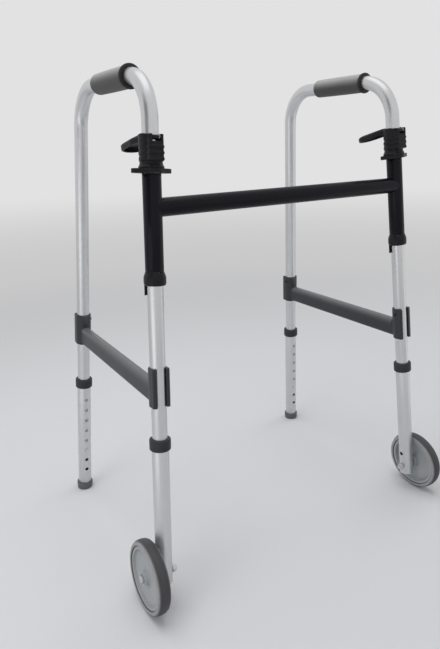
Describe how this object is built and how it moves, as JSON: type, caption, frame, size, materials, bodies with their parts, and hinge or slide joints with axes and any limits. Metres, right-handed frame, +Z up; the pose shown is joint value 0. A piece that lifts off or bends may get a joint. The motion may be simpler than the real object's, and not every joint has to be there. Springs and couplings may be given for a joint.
{
  "type": "folding walker",
  "caption": "Folding walking frame with hinged tube side frames, hand grips, push-down fold levers, height-adjustable legs, fixed front wheels and rubber-tipped rear legs.",
  "frame": {"origin": "on the floor, in the middle of the walker's outline", "axes": "+Z up; the front of the walker, with the wheels and crossbar, faces -Y; +X is the user's left"},
  "size_m": [0.6964, 0.5015, 0.8837],
  "materials": {
    "satin_aluminium": "satin drawn tube",
    "gloss_black_paint": "gloss black",
    "black_plastic": "black, finely textured",
    "slate_plastic": "slate grey",
    "grey_grip": "soft grey, matt",
    "tip_rubber": "dark grey, matt",
    "tyre_rubber": "dark grey",
    "hub_plastic": "light grey",
    "zinc_plate": "bright zinc",
    "spring_steel": "bare spring steel",
    "white_nylon": "natural white"
  },
  "bodies": {
    "cross_frame": {"crossbar": "gloss_black_paint", "right_sleeve": "gloss_black_paint", "right_lower_bush": "black_plastic", "right_base_flange": "black_plastic", "right_latch_housing": "black_plastic", "right_lever_pin": "zinc_plate", "right_lever_spring": "spring_steel", "left_sleeve": "gloss_black_paint", "left_lower_bush": "black_plastic", "left_base_flange": "black_plastic", "left_latch_housing": "black_plastic", "left_lever_pin": "zinc_plate", "left_lever_spring": "spring_steel"},
    "right_side_frame": {"right_side_tube": "satin_aluminium", "right_grip": "grey_grip", "right_side_brace": "slate_plastic", "right_lock_ring": "zinc_plate", "right_front_brace_rivet": "zinc_plate", "right_rear_brace_rivet": "zinc_plate", "right_front_button_spring": "spring_steel", "right_rear_button_spring": "spring_steel"},
    "right_lever": {"right_release_lever": "black_plastic"},
    "right_plunger": {"right_latch_plunger": "zinc_plate"},
    "right_front_leg": {"right_front_lower_tube": "satin_aluminium", "right_front_collar": "black_plastic", "right_axle_bolt": "zinc_plate", "right_axle_nut": "zinc_plate", "right_axle_washer": "zinc_plate"},
    "right_front_snap_button": {"right_front_button": "zinc_plate"},
    "right_rear_leg": {"right_rear_lower_tube": "satin_aluminium", "right_rear_collar": "black_plastic", "right_rear_tip": "tip_rubber"},
    "right_rear_snap_button": {"right_rear_button": "zinc_plate"},
    "right_wheel": {"right_tyre": "tyre_rubber", "right_wheel_hub": "hub_plastic", "right_wheel_bush": "white_nylon"},
    "left_side_frame": {"left_side_tube": "satin_aluminium", "left_grip": "grey_grip", "left_side_brace": "slate_plastic", "left_lock_ring": "zinc_plate", "left_front_brace_rivet": "zinc_plate", "left_rear_brace_rivet": "zinc_plate", "left_front_button_spring": "spring_steel", "left_rear_button_spring": "spring_steel"},
    "left_lever": {"left_release_lever": "black_plastic"},
    "left_plunger": {"left_latch_plunger": "zinc_plate"},
    "left_front_leg": {"left_front_lower_tube": "satin_aluminium", "left_front_collar": "black_plastic", "left_axle_bolt": "zinc_plate", "left_axle_nut": "zinc_plate", "left_axle_washer": "zinc_plate"},
    "left_front_snap_button": {"left_front_button": "zinc_plate"},
    "left_rear_leg": {"left_rear_lower_tube": "satin_aluminium", "left_rear_collar": "black_plastic", "left_rear_tip": "tip_rubber"},
    "left_rear_snap_button": {"left_rear_button": "zinc_plate"},
    "left_wheel": {"left_tyre": "tyre_rubber", "left_wheel_hub": "hub_plastic", "left_wheel_bush": "white_nylon"}
  },
  "joints": [
    {"name": "right_fold", "type": "hinge", "parent": "cross_frame", "child": "right_side_frame", "pos_m": [-0.308, -0.1923, 0], "axis": [-0.0713, -0.0732, -0.9948], "range_deg": [0, 84]},
    {"name": "right_lever_press", "type": "hinge", "parent": "cross_frame", "child": "right_lever", "pos_m": [-0.25239, -0.15373, 0.77577], "axis": [-0.9974, 0, 0.0715], "range_deg": [0, 12], "stiffness_Nm_per_rad": 0.6, "springref_deg": -17.19},
    {"name": "right_plunger_drop", "type": "slide", "parent": "cross_frame", "child": "right_plunger", "axis": [-0.0713, -0.0732, -0.9948], "range_m": [0, 0.0077]},
    {"name": "right_front_leg_height", "type": "slide", "parent": "right_side_frame", "child": "right_front_leg", "axis": [-0.0713, -0.0732, -0.9948], "range_m": [-0.0508, 0.1016]},
    {"name": "right_front_button_press", "type": "slide", "parent": "right_side_frame", "child": "right_front_snap_button", "axis": [0.0052, -0.9973, 0.0731], "range_m": [0, 0.0045], "stiffness_N_per_m": 300, "springref_m": -0.003},
    {"name": "right_rear_leg_height", "type": "slide", "parent": "right_side_frame", "child": "right_rear_leg", "axis": [-0.0713, 0.0732, -0.9948], "range_m": [-0.0508, 0.1016]},
    {"name": "right_rear_button_press", "type": "slide", "parent": "right_side_frame", "child": "right_rear_snap_button", "axis": [0.0052, 0.9973, 0.0731], "range_m": [0, 0.0045], "stiffness_N_per_m": 300, "springref_m": -0.003},
    {"name": "right_wheel_spin", "type": "hinge", "parent": "right_front_leg", "child": "right_wheel", "pos_m": [-0.3036, -0.18778, 0.06137], "axis": [0.9974, 0, -0.0715], "continuous": true},
    {"name": "left_fold", "type": "hinge", "parent": "cross_frame", "child": "left_side_frame", "pos_m": [0.308, -0.1923, 0], "axis": [-0.0713, 0.0732, 0.9948], "range_deg": [0, 70]},
    {"name": "left_lever_press", "type": "hinge", "parent": "cross_frame", "child": "left_lever", "pos_m": [0.25239, -0.15373, 0.77577], "axis": [-0.9974, 0, -0.0715], "range_deg": [0, 12], "stiffness_Nm_per_rad": 0.6, "springref_deg": -17.19},
    {"name": "left_plunger_drop", "type": "slide", "parent": "cross_frame", "child": "left_plunger", "axis": [0.0713, -0.0732, -0.9948], "range_m": [0, 0.0077]},
    {"name": "left_front_leg_height", "type": "slide", "parent": "left_side_frame", "child": "left_front_leg", "axis": [0.0713, -0.0732, -0.9948], "range_m": [-0.0508, 0.1016]},
    {"name": "left_front_button_press", "type": "slide", "parent": "left_side_frame", "child": "left_front_snap_button", "axis": [-0.0052, -0.9973, 0.0731], "range_m": [0, 0.0045], "stiffness_N_per_m": 300, "springref_m": -0.003},
    {"name": "left_rear_leg_height", "type": "slide", "parent": "left_side_frame", "child": "left_rear_leg", "axis": [0.0713, 0.0732, -0.9948], "range_m": [-0.0508, 0.1016]},
    {"name": "left_rear_button_press", "type": "slide", "parent": "left_side_frame", "child": "left_rear_snap_button", "axis": [-0.0052, 0.9973, 0.0731], "range_m": [0, 0.0045], "stiffness_N_per_m": 300, "springref_m": -0.003},
    {"name": "left_wheel_spin", "type": "hinge", "parent": "left_front_leg", "child": "left_wheel", "pos_m": [0.3036, -0.18778, 0.06137], "axis": [0.9974, 0, 0.0715], "continuous": true}
  ],
  "couplings": [
    {"joint": "right_plunger_drop", "follows": "right_lever_press", "m_per_rad": 0.0355},
    {"joint": "left_plunger_drop", "follows": "left_lever_press", "m_per_rad": 0.0355}
  ]
}
